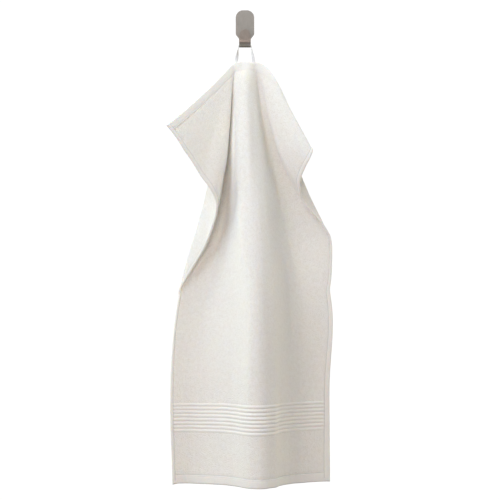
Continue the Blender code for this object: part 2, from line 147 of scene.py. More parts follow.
def grid_piece(name, front, back, measures, materials, slot_of_face=None):
    """A closed sheet between two grids of points, with its own measures as its UVs."""
    columns, rows = front.shape[:2]
    i, j = (g.ravel() for g in np.meshgrid(np.arange(columns - 1), np.arange(rows - 1), indexing="ij"))
    corner = i * rows + j
    cells = np.stack([corner, corner + 1, corner + rows + 1, corner + rows], axis=1)
    rim = [(c, 0) for c in range(columns)] + [(columns - 1, r) for r in range(1, rows)]
    rim += [(c, rows - 1) for c in range(columns - 2, -1, -1)] + [(0, r) for r in range(rows - 2, 0, -1)]
    edge = np.array([c * rows + r for c, r in rim])
    ahead = np.roll(edge, -1)
    layer = columns * rows
    closing = np.stack([edge, ahead, ahead + layer, edge + layer], axis=1)
    faces = np.concatenate([cells, cells[:, ::-1] + layer, closing])
    mesh = bpy.data.meshes.new(name)
    points = np.concatenate([front.reshape(-1, 3), back.reshape(-1, 3)])
    mesh.vertices.add(len(points))
    mesh.vertices.foreach_set("co", points.ravel())
    mesh.loops.add(faces.size)
    mesh.loops.foreach_set("vertex_index", faces.ravel())
    mesh.polygons.add(len(faces))
    mesh.polygons.foreach_set("loop_start", np.arange(0, faces.size, 4))
    flat = np.concatenate([measures.reshape(-1, 2)] * 2)
    mesh.update(calc_edges=True)
    mesh.uv_layers.new(name="measures").data.foreach_set("uv", flat[faces.ravel()].ravel())
    for material in materials:
        mesh.materials.append(material)
    if slot_of_face is not None:
        cell_slots = slot_of_face.ravel()
        mesh.polygons.foreach_set("material_index", np.concatenate(
            [cell_slots, cell_slots, np.full(len(closing), slot_of_face[0, 0])]))
    mesh.shade_smooth()
    mesh.validate()
    piece = bpy.data.objects.new(name, mesh)
    bpy.context.collection.objects.link(piece)
    return piece


def corner_inset(distance, radius):
    """How far a rounded corner draws the side in, at a distance from the strip's end."""
    return radius - math.sqrt(max(radius**2 - (radius - min(distance, radius)) ** 2, 0))


def plate_half_width(z):
    if z > SHOULDER_TOP:
        return PLATE_WIDTH / 2 - corner_inset(PLATE_TOP - z, PLATE_CORNER)
    share = min((SHOULDER_TOP - z) / (SHOULDER_TOP - SHOULDER_BOTTOM), 1)
    return PLATE_WIDTH / 2 + (NECK_WIDTH - PLATE_WIDTH) / 2 * (1 - math.cos(math.pi * share)) / 2


def tongue_half_width(z):
    share = (z - BEND_CENTRE_Z) / (TONGUE_TOP - BEND_CENTRE_Z)
    straight = (NECK_WIDTH + (TONGUE_TOP_WIDTH - NECK_WIDTH) * share) / 2
    return straight - corner_inset(TONGUE_TOP - z, TONGUE_CORNER)


def hook_stations():
    """(out, z, turn, half width) down the plate, round the bend and up the tongue."""
    plate = [PLATE_TOP - d for d in PLATE_CORNER * (1 - np.cos(np.linspace(0, math.pi / 2, 24)))]
    plate += [0.0, *np.linspace(SHOULDER_TOP, SHOULDER_BOTTOM, 16), BEND_CENTRE_Z]
    stations = [(STEEL / 2, z, 0.0, plate_half_width(z)) for z in plate]
    for turn in np.linspace(0, math.pi - TONGUE_LEAN, 41)[1:]:
        out = STEEL / 2 + BEND_MIDDLE_RADIUS * (1 - math.cos(turn))
        stations.append((out, BEND_CENTRE_Z - BEND_MIDDLE_RADIUS * math.sin(turn), turn, NECK_WIDTH / 2))
    out, low, turn, _ = stations[-1]
    top_round = TONGUE_TOP_WIDTH / 2 * (1 - np.cos(np.linspace(math.pi / 2, 0, 20)))
    for z in [BEND_CENTRE_Z, (BEND_CENTRE_Z + TONGUE_TOP) / 2 - 1 * MM, *[TONGUE_TOP - d for d in top_round]]:
        stations.append((out + (z - low) * math.tan(TONGUE_LEAN), z, turn, tongue_half_width(z)))
    return stations


hook_layers, hook_measures, run = ([], []), [], 0.0
stations = hook_stations()
for number, (out, z, turn, half_width) in enumerate(stations):
    inwards = np.array([0, -math.cos(turn), math.sin(turn)]) * STEEL / 2
    centre = np.array([0, -out, z])
    if number:
        run += math.dist((out, z), stations[number - 1][:2])
    places = np.linspace(-half_width, half_width, 9)
    for layer, side in zip(hook_layers, (1, -1)):
        layer.append([centre + side * inwards + (x, 0, 0) for x in places])
    hook_measures.append([(x, run) for x in places])
hook = grid_piece("wall_hook_steel", *(np.array(layer).transpose(1, 0, 2) for layer in hook_layers),
                  np.array(hook_measures).transpose(1, 0, 2), [brushed_steel()])
tumbled = hook.modifiers.new("tumbled_edges", "BEVEL")
tumbled.width = EDGE_ROUNDING
tumbled.segments = 3
tumbled.limit_method = "ANGLE"
tumbled.angle_limit = math.radians(50)
hook.modifiers.new("even_shading", "WEIGHTED_NORMAL").keep_sharp = True
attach(hook, "root")
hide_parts("wall_hook")

# ---- the hanging loop ---------------------------------------------------------------------------
# One length of white cotton twill tape. It lies over the hook's bend, runs down on both sides with a
# quarter turn, and its two ends are sewn in behind the top hem.

TAPE_WIDTH = 5 * MM
TAPE_THICKNESS = 0.9 * MM
TAPE_CLEARANCE = 0.55 * MM
TAPE_TURN_RADIUS = 1.3 * MM
LOOP_SPREAD = 29 * MM
LOOP_TUCK = 12 * MM
LOOP_STRAIGHT = 1.5 * MM  # its ends are already straight this far above the cloth's edge
TOP_EDGE_Z = -65.3 * MM
TOP_EDGE_OUT = 12 * MM
HEM_THICKNESS = 3.6 * MM
PIECE_GAP = 0.3 * MM
TWILL_SLANT = math.radians(35)
TAPE_COLOUR = (0.97, 0.97, 0.965)


def twill_tape():
    material, shader, measures = new_material("twill_tape", 0.85)
    slanted = add_node(material, "ShaderNodeMapping",
                       {"Vector": measures, "Rotation": (0, 0, TWILL_SLANT)})
    ribs = add_node(material, "ShaderNodeTexWave",
                    {"Vector": slanted.outputs[0], "Scale": 520.0, "Distortion": 0.6, "Detail": 1.0})
    fibres = add_node(material, "ShaderNodeTexNoise", {"Vector": measures, "Scale": 2600.0, "Detail": 2.0})
    both = add_node(material, "ShaderNodeMath", {0: ribs.outputs[1], 1: fibres.outputs[0]}, operation="ADD")
    colour = shade_between(material, both.outputs[0], [c * 0.86 for c in TAPE_COLOUR], TAPE_COLOUR, 0.4, 1.2)
    material.node_tree.links.new(colour, shader.inputs["Base Color"])
    use_bump(material, shader, both.outputs[0], 0.12 * MM)
    return material


def loop_half_route():
    """(x, out, z, lean, twist) from the middle of the bend to the right sewn end."""
    bend_out = STEEL + BEND_INNER_RADIUS
    lift = BEND_INNER_RADIUS - math.sqrt(BEND_INNER_RADIUS**2 - (TAPE_WIDTH / 2) ** 2)
    rest_z = BEND_CENTRE_Z - BEND_INNER_RADIUS + lift + TAPE_CLEARANCE + TAPE_THICKNESS / 2
    turn_x = NECK_WIDTH / 2 + TAPE_CLEARANCE + TAPE_THICKNESS / 2 - TAPE_TURN_RADIUS
    hem_back = TOP_EDGE_OUT - HEM_THICKNESS / 2 - PIECE_GAP - TAPE_THICKNESS / 2
    route = [(x, bend_out, rest_z, 0, 0) for x in np.linspace(0, turn_x, 6)]
    for lean in np.linspace(0, math.pi / 2, 9)[1:]:
        x = turn_x + TAPE_TURN_RADIUS * math.sin(lean)
        route.append((x, bend_out, rest_z - TAPE_TURN_RADIUS * (1 - math.cos(lean)), lean, 0))
    start, hem_z = route[-1], TOP_EDGE_Z + LOOP_STRAIGHT
    for share in np.linspace(0, 1, 25)[1:]:
        ease = share * share * (3 - 2 * share)
        x = start[0] + (LOOP_SPREAD / 2 - start[0]) * share
        out = start[1] + (hem_back - start[1]) * ease
        route.append((x, out, start[2] + (hem_z - start[2]) * share, math.pi / 2, math.pi / 2 * ease))
    for z in np.linspace(hem_z, TOP_EDGE_Z - LOOP_TUCK, 5)[1:]:
        route.append((LOOP_SPREAD / 2, hem_back, z, math.pi / 2, math.pi / 2))
    return route


right_half = loop_half_route()
left_half = [(-x, out, z, -lean, -twist) for x, out, z, lean, twist in right_half[:0:-1]]
tape_layers, tape_measures, run, last = ([], []), [], 0.0, None
for x, out, z, lean, twist in left_half + right_half:
    heading = np.array([math.cos(lean), 0, -math.sin(lean)])
    width = np.array([math.sin(twist), -math.cos(twist), 0])
    normal = np.cross(heading, width)
    centre = np.array([x, -out, z])
    run += 0.0 if last is None else float(np.linalg.norm(centre - last))
    last = centre
    across = np.linspace(-1, 1, 7)
    half_thickness = TAPE_THICKNESS / 2 * np.sqrt(1 - 0.75 * across**6)
    for layer, side in zip(tape_layers, (1, -1)):
        layer.append([centre + side * normal * t + a * width * TAPE_WIDTH / 2
                      for a, t in zip(across, half_thickness)])
    tape_measures.append([(a * TAPE_WIDTH / 2, run) for a in across])
loop = grid_piece("hanging_loop_tape", *(np.array(layer).transpose(1, 0, 2) for layer in tape_layers),
                  np.array(tape_measures).transpose(1, 0, 2), [twill_tape()])
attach(loop, "root")
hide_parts("hanging_loop")

# ---- the towel ----------------------------------------------------------------------------------
# One length of off-white cotton terry, cut 400 x 700 mm, hemmed on all four sides, with eight woven ribs
# near the bottom. It hangs from the two sewn ends of the loop and falls from there in fans of folds.

HALF_WIDTH, LENGTH = 200.0, 700.0  # of the flat cloth, in millimetres, as all of this section's sizes
HALF_LOOP = LOOP_SPREAD / MM / 2
CLOTH_HALF, HEM_HALF = 1.2, 1.75  # half the thickness
SIDE_HEM, END_HEM = 6.0, 14.5  # how deep the hems are turned
SEAM_PAST = 0.4  # from a hem's inner edge to the line pressed along it
STITCH_INSET = 2.2  # from an end hem's inner edge to its stitches
SIDE_SEAM, END_SEAM, STITCH_LINE = (0.55, 0.7), (0.55, 0.8), (0.35, 0.7)  # pressed depth, half breadth
EDGE_ROUND = 1.7
RIB_COUNT, RIB_PITCH, RIB_BLUNTNESS = 8, 6.25, 0.8
RIB_HEIGHT, RIB_GROOVE = 1.1475, 0.3825  # from groove to crest, and how much of it is below the cloth's face
BAND_TOP = LENGTH - 134
BAND_BOTTOM = BAND_TOP + RIB_COUNT * RIB_PITCH

# Each row is one line that runs straight down the flat cloth's fan, at the given angle from the top hem,
# and then straight down to the bottom hem. The pairs say where it hangs, across and out from the wall:
# 250 mm from the loop's end, at the fan's end (400 mm, or the side edge where that is nearer), 550 mm
# below the top edge, and at the bottom hem.
FAN_MIDDLE, FAN_END, LOWER_LEVEL = 250, 400, 550
LEFT_FOLDS = [
    # fold, angle, (across, out) in the fan, at its end, low down, at the hem
    ("top edge", 0, None, (-126, 104.5)),
    ("upper wing", 16, None, (-98, 93)),
    ("lower wing", 30, None, (-71.5, 81)),
    ("turn of the rim", 36, None, (-55, 75)),
    ("rim", 41.3, None, (-45, 66)),
    ("behind the rim", 47, None, (-49, 52)),
    ("behind the wing", 54, None, (-66, 34)),
    ("wall fold", 62.4, (-73, 9), (-112.5, 18), (-126, 24), (-121, 24)),
    ("side panel", 66.5, (-53, 13), (-91, 14), (-100, 21), (-98, 21)),
    ("valley", 71, (-31, 22), (-64, 15), (-74, 28), (-76, 30)),
    ("slope", 76, (-23, 39), (-39, 35), (-45, 44), (-48, 50)),
    ("flank", 82, (-15, 61), (-16.5, 69), (-20, 74), (-20, 80)),
    ("brow", 87.5, (-10, 80), (0, 102), (-1, 109), (-1, 114)),
    ("middle", 90, (-1.5, 85), (9.5, 113), (9, 122), (11, 127.5)),
]
CROWN = ("crown", 90, (10.5, 88), (20.5, 117), (22, 127), (24, 133))  # midway between the loop's ends
RIGHT_FOLDS = [
    ("top edge", 0, None, (96, 45)),
    ("turn of the wing", 17, None, (112, 61.5)),
    ("crest of the wing", 23, None, (105.5, 65)),
    ("wing", 29, None, (95, 57)),
    ("rim", 35, None, (90.5, 47)),
    ("behind the rim", 42.2, None, (98, 33)),
    ("behind the wing", 50.1, None, (126.5, 19)),
    ("wall fold", 55.3, None, (146, 12.5)),
    ("side edge", 62.4, (93, 7), (141.5, 14), (137.5, 20), (137, 22)),
    ("side panel", 66, (74, 8), (117, 18), (115, 25), (114, 30)),
    ("valley", 70, (58, 14), (92, 25), (92, 36), (90, 42)),
    ("slope", 75, (49, 33), (72, 40), (70, 60), (70, 66)),
    ("flank", 80, (42, 53), (60, 68), (57, 88), (57, 94)),
    ("brow", 85, (33.5, 72), (48, 98), (49, 110), (50, 114)),
    ("ridge", 90, (21.5, 84), (29.5, 114), (33, 124), (35, 130)),
]
LEFT_HEM_DROP = [(62.4, 766.5), (71, 765.5), (80, 762), (90, 758.5)]  # angle, hem below the hook's centre
RIGHT_HEM_DROP = [(62.4, 762.5), (70, 762.5), (80, 759), (90, 758)]
# How far the stiff hem keeps the cloth flat beside the loop, and how far it bows out between its ends.
LEFT_SHOULDER, RIGHT_SHOULDER, LEAST_SHOULDER = 9, 58, 6
HEM_BOW = 9
# How far the wings' lines sag between the loop and the side edge, and how far they belly towards the
# towel's middle, each at an angle of the fan.
LEFT_SAG, RIGHT_SAG = [(0, 5), (30, 0)], [(0, 0)]
LEFT_BELLY = [(30, 0), (36, 3), (41.3, 5), (47, 5), (62, 0)]
RIGHT_BELLY = [(18, 0), (29, 7), (35, 14), (42.2, 14), (50.1, 8), (62, 0)]
# How much nearer the wall a fold's line lies than if it were taut, at an angle of the fan: 60 mm from the
# loop's end, and 150 mm from it. Below zero it stands further out.
NEAR_SINK, FAR_SINK = 60, 150
LEFT_SINK = [(62.4, 3, 3), (66.5, 3, 1), (71, -2, -9), (76, -5, -12), (82, 0, 0)]
RIGHT_SINK = [(62.4, 4.4, 2.6), (64, 5, 3), (70, 9, 7), (75, 14, 13), (80, 16, 15), (85, 14, 13), (90, 10, 9)]
# Half the breadth over which a fold is rounded: at the loop, where the hem holds it open up to 100 mm
# down, then in the fan, and low down.
LEFT_FOLD_START, RIGHT_FOLD_START, HELD_OPEN, FOLD_IN_FAN, FOLD_LOW_EXTRA = 16, 3, 100, 7, 10
LOW_START, LOW_RUN = 220, 220  # where along its line a fold starts to widen, and over how far
DRAPE_STEP = 2.5
EVENING_PASSES = 6


def through(places, knots, points):
    """A smooth curve through the points, whose tangent at each is that of its neighbours."""
    knots, points = np.array(knots, float), np.array(points, float)
    slopes = np.gradient(points, knots, axis=0)
    i = np.clip(np.searchsorted(knots, places, side="right") - 1, 0, len(knots) - 2)
    span = (knots[i + 1] - knots[i])[:, None]
    x = (places - knots[i])[:, None] / span
    return ((2 * x**3 - 3 * x**2 + 1) * points[i] + (x**3 - 2 * x**2 + x) * span * slopes[i]
            + (3 * x**2 - 2 * x**3) * points[i + 1] + (x**3 - x**2) * span * slopes[i + 1])


def step_up(value, start, end):
    """0 up to start, 1 from end on, and a smooth step between."""
    share = np.clip((value - start) / (end - start), 0, 1)
    return share * share * (3 - 2 * share)


def hanging_line(side, fold, places, shoulder, sag, belly, sink, hem_drop):
    """Where the points of one fold's line hang, as (across, out, up)."""
    angle, in_fan, fan_end, *lower = fold[1:]
    turn = math.radians(angle)
    start = np.array([side * HALF_LOOP, TOP_EDGE_OUT / MM + (0 if side else HEM_BOW), TOP_EDGE_Z / MM])
    flat = np.array([side * math.cos(turn), 0, -math.sin(turn)])
    reach = min(FAN_END, (HALF_WIDTH - HALF_LOOP) / max(math.cos(turn), 1e-6))
    first_place, first = (FAN_MIDDLE, in_fan) if in_fan else (reach, fan_end)
    shoulder = max(shoulder * math.cos(turn) ** 6, LEAST_SHOULDER)

    def still_flat(place):
        return shoulder / 2 * (1 - np.exp(-2 * place / shoulder))

    kept = still_flat(first_place)
    lean = (np.array(first) - start[:2] - flat[:2] * kept) / (first_place - kept)
    fall = np.array([*lean, -math.sqrt(1 - lean @ lean)])

    def taut(place):
        flat_share = still_flat(np.atleast_1d(place))[:, None]
        return start + flat * flat_share + fall * (np.atleast_1d(place)[:, None] - flat_share)

    if not lower:  # the 4 and the 6.75 bring each curve's highest point to one
        share = np.clip(places / reach, 0, 1)
        sagging = np.outer(4 * share * (1 - share), (0, 0, -np.interp(angle, *zip(*sag))))
        bellied = np.outer(6.75 * share**2 * (1 - share), (-side * np.interp(angle, *zip(*belly)), 0, 0))
        return taut(places) + sagging + bellied
    above = taut(FAN_MIDDLE)[0]
    drop = math.sqrt((FAN_END - FAN_MIDDLE) ** 2 - np.sum((np.array(fan_end) - above[:2]) ** 2))
    hem_up = -np.interp(angle, *zip(*hem_drop))
    fan_bottom = FAN_END * math.sin(turn)
    turns, *depths = zip(*sink)
    sunk_near, sunk_far = [np.array([0, -np.interp(angle, turns, depth) if side else 0, 0])
                           for depth in depths]
    knots = [NEAR_SINK, FAR_SINK, FAN_MIDDLE, FAN_END, FAN_END + LOWER_LEVEL - fan_bottom,
             FAN_END + LENGTH - fan_bottom]
    points = [taut(NEAR_SINK)[0] + sunk_near, taut(FAR_SINK)[0] + sunk_far, above,
              (*fan_end, above[2] - drop), (*lower[0], hem_up + LENGTH - LOWER_LEVEL - 1),
              (*lower[1], hem_up)]
    line = through(np.maximum(places, knots[0]), knots, points)
    near = places < knots[0]
    line[near] = taut(places[near]) + np.outer(step_up(places[near], 0, knots[0]), sunk_near)
    return line


# Places across the cloth run from 0 (the left top edge) to 90 (below the loop's left end), on to 120
# (below its right end) and to 210 (the right top edge).
MIDDLE_START, MIDDLE_END, LAST = 90, 120, 210
LINE_END, LINE_STEP = 770, 2  # past the end of the longest line
LINE_PLACES = np.arange(0, LINE_END, LINE_STEP, dtype=float)
LEFT_SIDE = (LEFT_SHOULDER, LEFT_SAG, LEFT_BELLY, LEFT_SINK, LEFT_HEM_DROP)
RIGHT_SIDE = (RIGHT_SHOULDER, RIGHT_SAG, RIGHT_BELLY, RIGHT_SINK, RIGHT_HEM_DROP)
ROW_PLACES = np.array([fold[1] for fold in LEFT_FOLDS] + [LAST / 2]
                      + [LAST - fold[1] for fold in RIGHT_FOLDS[::-1]])
ROW_LINES = np.array([hanging_line(-1, fold, LINE_PLACES, *LEFT_SIDE) for fold in LEFT_FOLDS]
                     + [hanging_line(0, CROWN, LINE_PLACES, *RIGHT_SIDE)]
                     + [hanging_line(1, fold, LINE_PLACES, *RIGHT_SIDE) for fold in RIGHT_FOLDS[::-1]])


def between_rows(across, down):
    """The point at each place across and down, straight between the two nearest folds."""
    i = np.clip(np.searchsorted(ROW_PLACES, across, side="right") - 1, 0, len(ROW_PLACES) - 2)
    x = ((across - ROW_PLACES[i]) / (ROW_PLACES[i + 1] - ROW_PLACES[i]))[..., None]
    step = np.clip(down / LINE_STEP, 0, len(LINE_PLACES) - 1.001)
    j = step.astype(int)
    y = (step - j)[..., None]
    left = ROW_LINES[i, j] * (1 - y) + ROW_LINES[i, j + 1] * y
    right = ROW_LINES[i + 1, j] * (1 - y) + ROW_LINES[i + 1, j + 1] * y
    return left * (1 - x) + right * x


def past_edges(across, down):
    """The same, carried straight on past the two top edges."""
    inside = np.clip(across, 0, LAST)
    mirrored = np.clip(2 * inside - across, 0, LAST)
    edge = between_rows(inside, down)
    return np.where((across != inside)[..., None], 2 * edge - between_rows(mirrored, down), edge)


def hung(across, down):
    """Where the flat cloth's points hang: across from its middle, down from its top edge."""
    aside = np.clip(np.abs(across) - HALF_LOOP, 0, None)
    fan_angle = np.where(aside > 0, np.degrees(np.arctan2(down, aside)), MIDDLE_START)
    end_angle = np.degrees(np.arccos(np.clip(aside / FAN_END, 0, 1)))
    fan_bottom = FAN_END * np.sin(np.radians(end_angle))
    below = down > fan_bottom
    line_place = np.where(below, FAN_END + down - fan_bottom, np.hypot(aside, down))
    angle = np.where(below, end_angle, fan_angle)
    middle = (MIDDLE_START + MIDDLE_END) / 2
    middle_place = middle + across / HALF_LOOP * (MIDDLE_END - middle)
    place = np.where(across < 0, angle, LAST - angle)
    place = np.where(np.abs(across) < HALF_LOOP, middle_place, place)
    low = step_up(line_place, LOW_START, LOW_START + LOW_RUN)
    fold_start = np.interp(place, (MIDDLE_START, MIDDLE_END), (LEFT_FOLD_START, RIGHT_FOLD_START))
    held_open = np.clip(1 - line_place / HELD_OPEN, 0, 1)
    rounding = FOLD_IN_FAN + (fold_start - FOLD_IN_FAN) * held_open + FOLD_LOW_EXTRA * low
    degrees_per_mm = 180 / np.pi / np.maximum(line_place, 8)
    total, weights = 0, 0
    for offset in np.linspace(-1, 1, 19)[1:-1]:
        weight = (1 - offset * offset) ** 2
        total = total + weight * past_edges(place + rounding * offset * degrees_per_mm, line_place)
        weights += weight
    return total / weights


def evened(grid, passes):
    """The grid with each point moved towards its neighbours, its edges along themselves only."""
    for _ in range(passes):
        new = grid.copy()
        new[1:-1, 1:-1] = grid[1:-1, 1:-1] / 2 + (
            grid[:-2, 1:-1] + grid[2:, 1:-1] + grid[1:-1, :-2] + grid[1:-1, 2:]) / 8
        for edge in (0, -1):
            new[edge, 1:-1] = grid[edge, 1:-1] / 2 + (grid[edge, :-2] + grid[edge, 2:]) / 4
            new[1:-1, edge] = grid[1:-1, edge] / 2 + (grid[:-2, edge] + grid[2:, edge]) / 4
        grid = new
    return grid


def soft_noise(across, down, cell_across, cell_down, seed):
    """Smooth unevenness from -1 to 1, in cells of the given size, the same each run."""
    table = np.random.default_rng(seed).uniform(-1, 1, (64, 64))
    x, y = across / cell_across + 100, down / cell_down + 100
    i, j = np.floor(x).astype(int), np.floor(y).astype(int)
    x, y = x - i, y - j
    x, y = x * x * (3 - 2 * x), y * y * (3 - 2 * y)
    top = table[i % 64, j % 64] * (1 - x) + table[(i + 1) % 64, j % 64] * x
    bottom = table[i % 64, (j + 1) % 64] * (1 - x) + table[(i + 1) % 64, (j + 1) % 64] * x
    return top * (1 - y) + bottom * y


def pressed_line(distance, depth, half_breadth):
    """How deep the cloth is pressed in, at a distance from the line's middle."""
    return depth * np.exp(-((distance / half_breadth) ** 2))


def half_thickness_of(across, down):
    """Half the cloth's thickness: full hems, a pressed line at their stitching, ribs and a rounded edge."""
    side = HALF_WIDTH - np.abs(across)
    end = np.minimum(down, LENGTH - down)
    in_side, in_end = 1 - step_up(side, SIDE_HEM, SIDE_HEM + 1), 1 - step_up(end, END_HEM, END_HEM + 1)
    hem = np.maximum(in_side, in_end)
    half = CLOTH_HALF + (HEM_HALF - CLOTH_HALF) * hem
    half = half - pressed_line(side - SIDE_HEM - SEAM_PAST, *SIDE_SEAM) * (1 - in_end)
    half = half - pressed_line(end - END_HEM - SEAM_PAST, *END_SEAM) * (1 - in_side)
    half = half - pressed_line(end - END_HEM + STITCH_INSET, *STITCH_LINE) * (1 - in_side)
    rib = (down - BAND_TOP) / RIB_PITCH
    on_band = (rib > 0) & (rib < RIB_COUNT)
    ridge = np.abs(np.sin(np.pi * rib)) ** RIB_BLUNTNESS
    ribs = np.where(on_band, RIB_HEIGHT * ridge - RIB_GROOVE, 0) * (1 - in_side)
    rounding = np.minimum(np.minimum(side, end) / EDGE_ROUND, 1)
    return (half + ribs) * np.sqrt(np.clip(1 - (1 - rounding) ** 2, 0.03, 1))


def read_grid(grid, across, down):
    """The grid read at the mesh's own columns and rows."""
    x, y = np.meshgrid((across + HALF_WIDTH) / DRAPE_STEP, down / DRAPE_STEP, indexing="ij")
    i = np.clip(x.astype(int), 0, grid.shape[0] - 2)
    j = np.clip(y.astype(int), 0, grid.shape[1] - 2)
    x, y = (x - i)[..., None], (y - j)[..., None]
    top = grid[i, j] * (1 - x) + grid[i + 1, j] * x
    bottom = grid[i, j + 1] * (1 - x) + grid[i + 1, j + 1] * x
    return top * (1 - y) + bottom * y


def unit_normals(grid):
    """The way the grid's front faces at each of its points."""
    normal = np.cross(np.gradient(grid, axis=1), np.gradient(grid, axis=0))
    return normal / np.linalg.norm(normal, axis=2, keepdims=True)


drape_across = np.arange(-HALF_WIDTH, HALF_WIDTH + 1, DRAPE_STEP)
drape_down = np.arange(0, LENGTH + 1, DRAPE_STEP)
drape = evened(hung(*np.meshgrid(drape_across, drape_down, indexing="ij")), EVENING_PASSES)
drape = drape * np.array([MM, -MM, MM])
drape_normals = unit_normals(drape)

# The mesh's columns and rows lie closer at the edges, at the seams and on the ribs than elsewhere.
edge_steps = np.array([0, 0.25, 0.7, 1.5, 3, 4.6, 5.4, 6, 6.5, 7.1, 8])
columns = np.concatenate([edge_steps - HALF_WIDTH, np.linspace(11 - HALF_WIDTH, HALF_WIDTH - 11, 148),
                          HALF_WIDTH - edge_steps[::-1]])
end_steps = np.array([0, 0.25, 0.7, 1.5, 3, 6, 9.5, 11.2, 12.3, 13.4, 14.3, 14.9, 15.6, 17])
rows = np.concatenate([end_steps, np.linspace(20, BAND_TOP - 2.5, 170),
                       np.linspace(BAND_TOP - 0.4, BAND_BOTTOM + 0.4, 66),
                       np.linspace(BAND_BOTTOM + 2.5, LENGTH - 20, 22), LENGTH - end_steps[::-1]])
across, down = np.meshgrid(columns, rows, indexing="ij")

# Each unevenness of the cloth: its height, its breadth across and down, and the seed of its pattern.
LONG_SLACK, SHORT_SLACK = (0.9, 42, 150, 3), (0.45, 19, 60, 4)
SIDE_PUCKER, END_PUCKER = (0.35, 60, 9, 5), (0.4, 9, 60, 6)
FRONT_PILE, BACK_PILE = (0.10, 3.1, 3.1, 7), (0.10, 3.1, 3.1, 8)


def uneven(height, breadth, length, seed):
    """One unevenness over the whole cloth."""
    return height * soft_noise(across, down, breadth, length, seed)


def cloth_surface():
    """The towel's front and back, with the slack, puckers and uneven pile of worn terry."""
    middle = read_grid(drape, columns, rows)
    normal = read_grid(drape_normals, columns, rows)
    normal = normal / np.linalg.norm(normal, axis=2, keepdims=True)
    clear_of_loop = step_up(down, 20, 90)
    slack = uneven(*LONG_SLACK) + uneven(*SHORT_SLACK)
    side, end = HALF_WIDTH - np.abs(across), np.minimum(down, LENGTH - down)
    near_side, near_end = np.exp(-((side / 10) ** 2)), np.exp(-(((end - 8) / 12) ** 2))
    pucker = near_side * uneven(*SIDE_PUCKER) + near_end * uneven(*END_PUCKER)
    middle = middle + normal * ((slack * clear_of_loop + pucker * step_up(down, 3, 20)) * MM)[..., None]
    half = half_thickness_of(across, down)
    has_pile = (side > SIDE_HEM + 1) & (end > END_HEM + 1)
    front, back = half + has_pile * uneven(*FRONT_PILE), half + has_pile * uneven(*BACK_PILE)
    return middle + normal * (front * MM)[..., None], middle - normal * (back * MM)[..., None]


TERRY_TIP = (0.93, 0.91, 0.875)
# the next colour is painted shade for the gaps between the loops
TERRY_GAP_SHADE = (0.82, 0.785, 0.73)
WEAVE_LIGHT = (0.92, 0.90, 0.865)
WEAVE_DARK = (0.82, 0.79, 0.74)
PAINTED_SHADE_TONE = 0.8  # of the hems' own tone, painted shade along the seams and under the bottom edge
LOOP_PITCH = 1.5  # of the terry's loops
CLUMPS = (170, 150)  # of loops, and then the threads: repeats per metre across and along the towel
HEM_THREADS, RIB_THREADS = (900, 900), (260, 2400)


def let_light_through(shader):
    """Cotton this thin glows where light falls on its far side, and warms it."""
    shader.inputs["Subsurface Weight"].default_value = 0.7
    shader.inputs["Subsurface Radius"].default_value = (1.0, 0.85, 0.65)
    shader.inputs["Subsurface Scale"].default_value = 2.5 * MM


def terry_pile():
    """Rows of small loops, in clumps that stand and lie unevenly, with painted shade in the gaps and where
    the clumps lie low.
    """
    material, shader, measures = new_material("terry_pile", 0.95)
    rows_per_metre = 1 / (LOOP_PITCH * MM)
    placed = stretched(material, measures, rows_per_metre, rows_per_metre * 0.8)
    loops = add_node(material, "ShaderNodeTexVoronoi", {"Vector": placed, "Scale": 1.0, "Randomness": 0.85},
                     voronoi_dimensions="2D", feature="F1")
    clumps = add_node(material, "ShaderNodeTexNoise",
                      {"Vector": stretched(material, measures, *CLUMPS), "Scale": 1.0, "Detail": 3.0})
    uneven = add_node(material, "ShaderNodeMath",
                      {0: clumps.outputs[0], 1: 0.9}, operation="MULTIPLY")
    depth = add_node(material, "ShaderNodeMath",
                     {0: uneven.outputs[0], 1: loops.outputs["Distance"]}, operation="SUBTRACT")
    # painted shade: the lower the pile lies, in a gap or a low clump, the nearer its colour to the gaps'
    # shade
    colour = shade_between(material, depth.outputs[0], TERRY_GAP_SHADE, TERRY_TIP, -0.4, 0.35)
    material.node_tree.links.new(colour, shader.inputs["Base Color"])
    use_bump(material, shader, depth.outputs[0], 0.8 * MM, 0.5)
    let_light_through(shader)
    shader.inputs["Sheen Weight"].default_value = 0.25
    shader.inputs["Sheen Roughness"].default_value = 0.6
    shader.inputs["Specular IOR Level"].default_value = 0.15
    return material


def flat_weave(name, threads, tone=1.0):
    """Plain woven cotton, whose threads show as fine uneven lines or flecks, darkened by a tone below one
    where it is painted in shade.
    """
    material, shader, measures = new_material(name, 0.9)
    weft = add_node(material, "ShaderNodeTexNoise",
                    {"Vector": stretched(material, measures, *threads), "Scale": 1.0, "Detail": 2.0})
    colour = shade_between(material, weft.outputs[0], [c * tone for c in WEAVE_DARK],
                           [c * tone for c in WEAVE_LIGHT], 0.25, 0.6)
    material.node_tree.links.new(colour, shader.inputs["Base Color"])
    use_bump(material, shader, weft.outputs[0], 0.25 * MM, 0.6)
    let_light_through(shader)
    shader.inputs["Sheen Weight"].default_value = 0.15
    shader.inputs["Specular IOR Level"].default_value = 0.2
    return material


# Each of the mesh's cells is terry, hem, rib band or painted shade, by where its middle lies; the painted
# shade lies along the side and bottom seams and on the bottom edge's rounded underside.
middle_across = (columns[:-1] + columns[1:]) / 2
middle_down = (rows[:-1] + rows[1:]) / 2
cell_side = (HALF_WIDTH - np.abs(middle_across))[:, None] + 0 * middle_down
cell_end = np.minimum(middle_down, LENGTH - middle_down) + 0 * middle_across[:, None]
on_band = (middle_down > BAND_TOP) & (middle_down < BAND_BOTTOM) & (cell_side > SIDE_HEM)
in_hem = (cell_side < SIDE_HEM + SEAM_PAST) | (cell_end < END_HEM + SEAM_PAST)
from_bottom = LENGTH - middle_down
